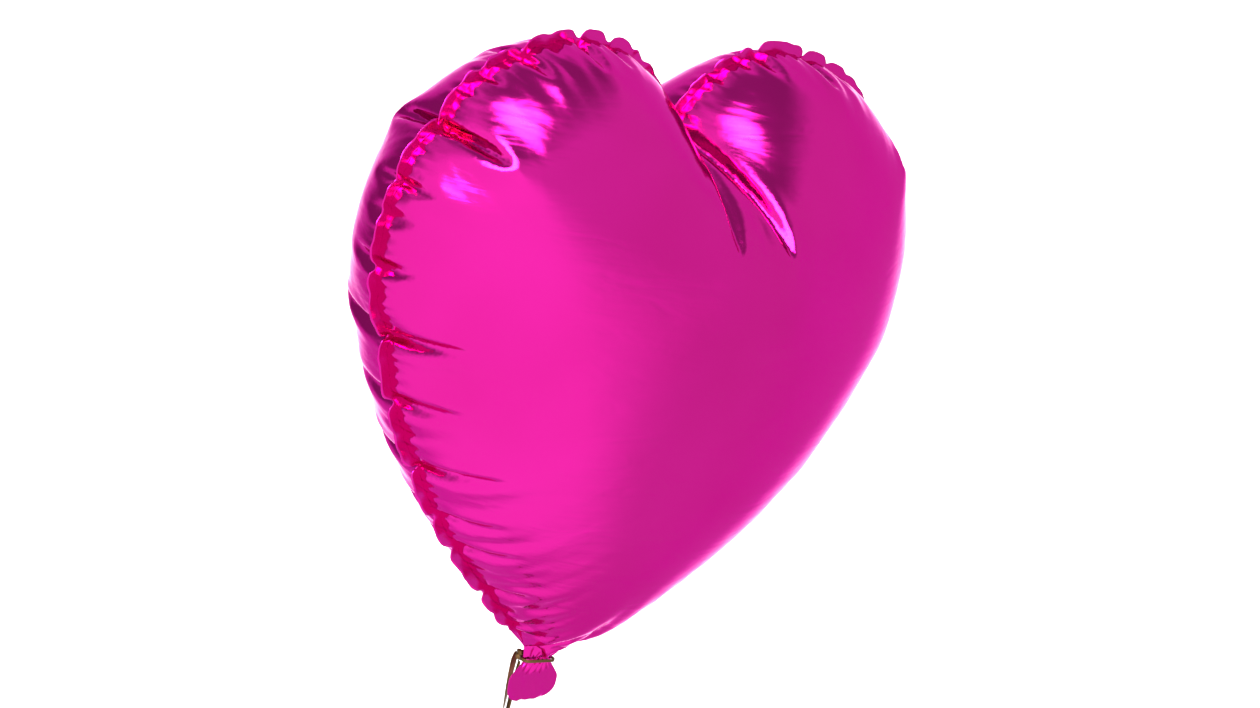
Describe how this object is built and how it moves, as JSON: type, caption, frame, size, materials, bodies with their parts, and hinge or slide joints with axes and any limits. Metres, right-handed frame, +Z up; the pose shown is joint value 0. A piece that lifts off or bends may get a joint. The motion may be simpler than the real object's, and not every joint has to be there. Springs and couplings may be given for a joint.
{
  "type": "heart-shaped foil balloon",
  "caption": "Inflated heart-shaped foil balloon with a crimped weld rim, a gathered neck tied with ribbon, and a hand loop at the ribbon's lower end.",
  "frame": {"origin": "the centre of the hand loop at the ribbon's lower end", "axes": "+Z runs up the ribbon to the balloon, -Y is the balloon's front and X is its width"},
  "size_m": [0.3774, 0.211, 0.5262],
  "materials": {
    "front_film": "mirror-bright metallised film, magenta, fine ripples",
    "back_film": "mirror-bright metallised film, magenta, fine ripples",
    "weld_rim": "fused and puckered metallised film, magenta",
    "neck_film": "gathered metallised film, magenta",
    "valve_film": "clear polyethylene film",
    "ribbon": "metallised curling ribbon, gold"
  },
  "bodies": {
    "ribbon": {"ribbon": "ribbon", "loop_knot": "ribbon", "hand_loop": "ribbon"},
    "tie": {"tie_turns": "ribbon", "tie_knot": "ribbon"},
    "loose_end": {"ribbon_end": "ribbon"},
    "tail": {"tail_flap": "neck_film"},
    "neck": {"neck": "neck_film"},
    "envelope": {"front_panel": "front_film", "back_panel": "back_film", "seam_flange": "weld_rim", "valve_front_film": "valve_film", "valve_back_film": "valve_film"}
  },
  "joints": [
    {"name": "spin", "type": "hinge", "parent": "ribbon", "child": "tie", "pos_m": [0, 0, 0.15], "axis": [0, 0, 1], "continuous": true},
    {"name": "nod", "type": "hinge", "parent": "tie", "child": "neck", "pos_m": [0.006, -0.007, 0.1536], "axis": [1, 0, 0], "range_deg": [-20, 20], "stiffness_Nm_per_rad": 0.06},
    {"name": "sway_side", "type": "hinge", "parent": "neck", "child": "envelope", "pos_m": [0.006, -0.007, 0.1596], "axis": [0, 1, 0], "range_deg": [-20, 20], "stiffness_Nm_per_rad": 0.06},
    {"name": "tail_flex", "type": "hinge", "parent": "tie", "child": "tail", "pos_m": [0.006, -0.007, 0.1495], "axis": [1, 0, 0], "range_deg": [-40, 5], "stiffness_Nm_per_rad": 0.0005},
    {"name": "end_swing", "type": "hinge", "parent": "tie", "child": "loose_end", "pos_m": [0, 0.0042, 0.1536], "axis": [1, 0, 0], "range_deg": [0, 60]}
  ]
}
